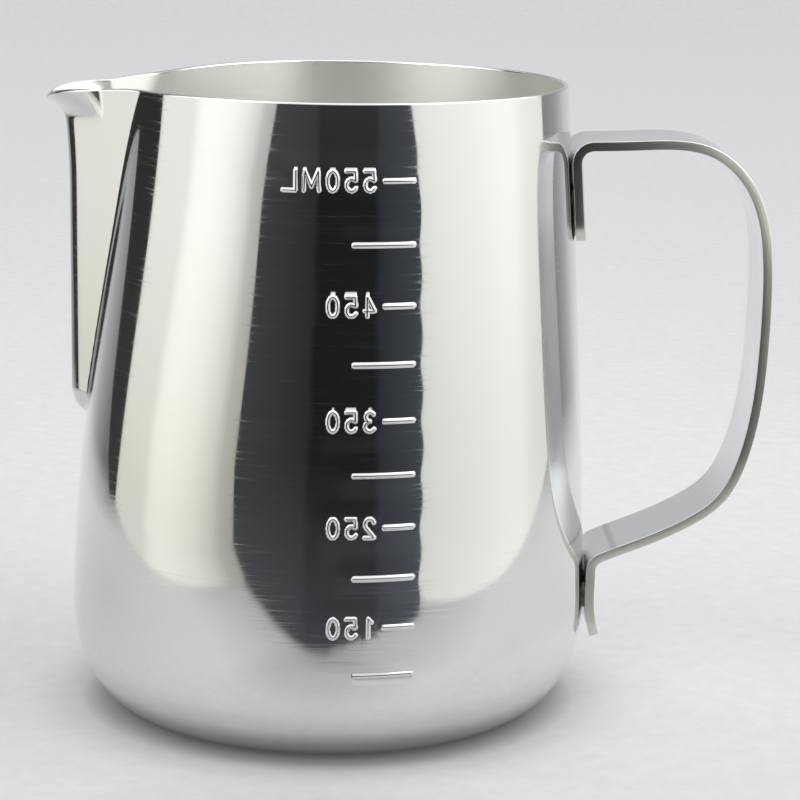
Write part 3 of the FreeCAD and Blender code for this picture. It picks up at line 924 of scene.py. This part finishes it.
def felt():
    """Pale felt, brightest behind the pitcher and in front, with painted shade greying it out to the sides
    and round the base, painted spots of light and shade, and a faint glow of its own.
    """
    material, tree, shader = new_material("pale_felt")
    place = position(tree)
    x, y, _ = parts_of(tree, place)
    aside = share_aside(tree, turn_of(tree, x, y))
    mottle = stretched_noise(tree, place, (1.0, 1.0, 1.0), 260.0, 5.0, 0.6)
    tone = colour_stops(tree, mottle, [(0.3, (0.577, 0.578, 0.584)), (0.7, (0.617, 0.618, 0.621))])
    far = add_node(tree, "ShaderNodeVectorMath", operation="LENGTH")
    tree.links.new(place, far.inputs[0])
    # Painted shade: beyond about a quarter metre from the pitcher the felt greys towards the sides.
    outside = ramp(tree, far.outputs["Value"], 0.22, 0.34, 0.0, 1.0)
    # Painted contact shadow: the felt darkens close round the pitcher's base.
    painted_contact_shadow = colour_stops(tree, ramp(tree, far.outputs["Value"], 0.03, 0.06, 0.0, 1.0),
                           [(0.2, 0.42), (0.34, 0.56), (0.46, 0.84), (0.64, 0.95), (0.8, 1.0)])
    painted_side_shade = colour_stops(tree, aside, [
        (0.1, 1.0), (0.18, 0.94), (0.25, 0.6), (0.33, 0.3), (0.42, 0.3), (0.5, 1.0)])
    side_shaded_tone = mixed(tree, outside, plain_colour(tree, (1.0, 1.0, 1.0)), painted_side_shade)
    shade = add_node(tree, "ShaderNodeAttribute", attribute_name="shade")
    product = multiplied(tree, multiplied(tree, tone, side_shaded_tone), shade.outputs["Color"])
    product = multiplied(tree, product, painted_contact_shadow)
    for centre, inner, outer, strength in PAINTED_FLOOR_LIGHT_AND_SHADE:
        product = multiplied(tree, product, spot(tree, place, centre, inner, outer, strength))
    tree.links.new(product, shader.inputs["Base Color"])
    # Painted light: the felt glows with a quarter of its painted colour, which evens out its lighting and
    # softens shadows on it.
    tree.links.new(product, shader.inputs["Emission Color"])
    shader.inputs["Emission Strength"].default_value = 0.25
    shader.inputs["Roughness"].default_value = 1.0
    shader.inputs["Specular IOR Level"].default_value = 0.0
    return material


BACKDROP_SHADE = 1.12


def paper_floor():
    """Pale sheet cut short in front, curving up into a backdrop far behind, with painted shade darkening it
    towards its front edge.
    """
    back = 1500.0
    sweep = 500.0
    spread = 16.0
    rows = []
    edge = [(-330.0, -171.0)] + FRONT_EDGE + [(330.0, -139.0)]
    # Painted shade: the rows' shade falls from one to 0.12 towards the sheet's cut front edge.
    for step, shade in ((0.0, 0.12), (4.0, 0.42), (9.0, 0.68), (22.0, 0.78), (45.0, 0.88), (72.0, 1.0)):
        rows.append(([(x, y + step, 0.0) for x, y in edge], shade))
    count = len(edge)
    wide = np.linspace(-110.0, 110.0, count)
    rows.append(([(x * 3.6, 85.0, 0.0) for x in wide], 1.0))
    rows.append(([(x * spread, back, 0.0) for x in wide], BACKDROP_SHADE))
    for turn in np.radians(np.linspace(10.0, 90.0, 9)):
        rows.append(([(x * spread, back + sweep * math.sin(turn), sweep * (1.0 - math.cos(turn)))
                      for x in wide], BACKDROP_SHADE))
    rows.append(([(x * spread, back + sweep, 2500.0) for x in wide], BACKDROP_SHADE))
    points = [place for row, _ in rows for place in row]
    faces = []
    for row in range(len(rows) - 1):
        for column in range(count - 1):
            base = row * count + column
            faces.append((base, base + 1, base + count + 1, base + count))
    floor = make_mesh("floor", points, faces)
    shades = floor.data.color_attributes.new("shade", "FLOAT_COLOR", "POINT")
    values = np.repeat([shade for _, shade in rows], count)
    shades.data.foreach_set("color", np.stack([values, values, values, np.ones_like(values)], -1).ravel())
    paint(floor, felt())


def dark_room():
    """World: a dark room in front with a darker middle, grey sides behind, and a bright ceiling."""
    world = bpy.data.worlds.new("dark_room")
    world.use_nodes = True
    tree = world.node_tree
    background = tree.nodes["Background"]
    direction = add_node(tree, "ShaderNodeTexCoord").outputs["Generated"]
    x, y, z = parts_of(tree, direction)
    turn = turn_of(tree, x, y)
    aside = share_aside(tree, turn)
    across_front = ramp(tree, clockwise(tree, turn), 2.0 * math.pi / 3, 4.0 * math.pi / 3, 0.0, 1.0)
    room = colour_stops(tree, across_front, [
        (0.15, (0.06, 0.07, 0.08)), (0.31, (0.033, 0.037, 0.042)), (0.34, (0.016, 0.016, 0.016)),
        (0.58, (0.014, 0.014, 0.014)), (0.61, (0.03, 0.031, 0.032)), (0.88, (0.055, 0.057, 0.06))])
    low = colour_stops(tree, ramp(tree, z, -0.27, -0.12, 0.0, 1.0),
                       [(0.0, (0.052, 0.058, 0.066)), (1.0, (0.0, 0.0, 0.0))])
    high = colour_stops(tree, ramp(tree, z, 0.0, 0.05, 0.0, 1.0),
                        [(0.0, (0.0, 0.0, 0.0)), (1.0, (0.022, 0.022, 0.022))])
    front = added(tree, added(tree, room, low), high)
    behind = colour_stops(tree, aside, [(0.08, 0.9), (0.17, 0.6), (0.26, 0.36), (0.34, 0.24), (0.5, 0.22)])
    around = mixed(tree, ramp(tree, aside, 0.5, 0.62, 0.0, 1.0), behind, front)
    ceiling = plain_colour(tree, (0.9, 0.92, 0.94))
    whole = mixed(tree, ramp(tree, z, 0.25, 0.55, 0.0, 1.0), around, ceiling)
    tree.links.new(whole, background.inputs["Color"])
    bpy.context.scene.world = world


def area_light(name, place, target, width, depth, power):
    light = bpy.data.lights.new(name, "AREA")
    light.shape = "RECTANGLE"
    light.size = width
    light.size_y = depth
    light.energy = power
    obj = bpy.data.objects.new(name, light)
    obj.location = place
    obj.rotation_euler = (Vector(target) - Vector(place)).to_track_quat("-Z", "Y").to_euler()
    bpy.context.scene.collection.objects.link(obj)


def studio():
    """White tent open towards the camera, with a dark room beyond the opening."""
    bpy.context.scene.view_settings.view_transform = "Standard"
    dark_room()
    paper_floor()
    tent()
    area_light("overhead", (0.0, 0.3, 1.2), (0.0, 0.3, 0.0), 1.8, 1.8, 3.35)


def camera():
    """Camera a little above the rim, turned and rolled as it was held."""
    distance = 455.64
    height = 150.84
    pitch, yaw, roll = (math.radians(value) for value in (12.136, 1.524, -0.921))
    forward = Vector((math.sin(yaw) * math.cos(pitch), math.cos(yaw) * math.cos(pitch), -math.sin(pitch)))
    right = Vector((math.cos(yaw), -math.sin(yaw), 0.0))
    up = right.cross(forward)
    turned_right = math.cos(roll) * right - math.sin(roll) * up
    turned_up = math.sin(roll) * right + math.cos(roll) * up
    data = bpy.data.cameras.new("camera")
    data.sensor_width = 36.0
    data.lens = 119.74
    data.clip_start = 0.01
    obj = bpy.data.objects.new("camera", data)
    facing = Matrix((turned_right, turned_up, -forward)).transposed()
    obj.matrix_world = Matrix.Translation(Vector((0.0, -distance, height)) * MM) @ facing.to_4x4()
    bpy.context.scene.collection.objects.link(obj)
    bpy.context.scene.camera = obj


# ============================== the object ====================================

shell = build_shell()
paint(shell, polished_steel(), lip_steel(), satin_steel())
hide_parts("pitcher_body")
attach(shell, "root")

strap = build_strap()
paint(strap, brushed_steel(), sheared_steel())
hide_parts("handle_strap")
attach(strap, "root")

weld_material = weld_steel()
for name in ("upper_spot_welds", "lower_spot_welds"):
    paint(bpy.data.objects[name], weld_material)

studio()
camera()
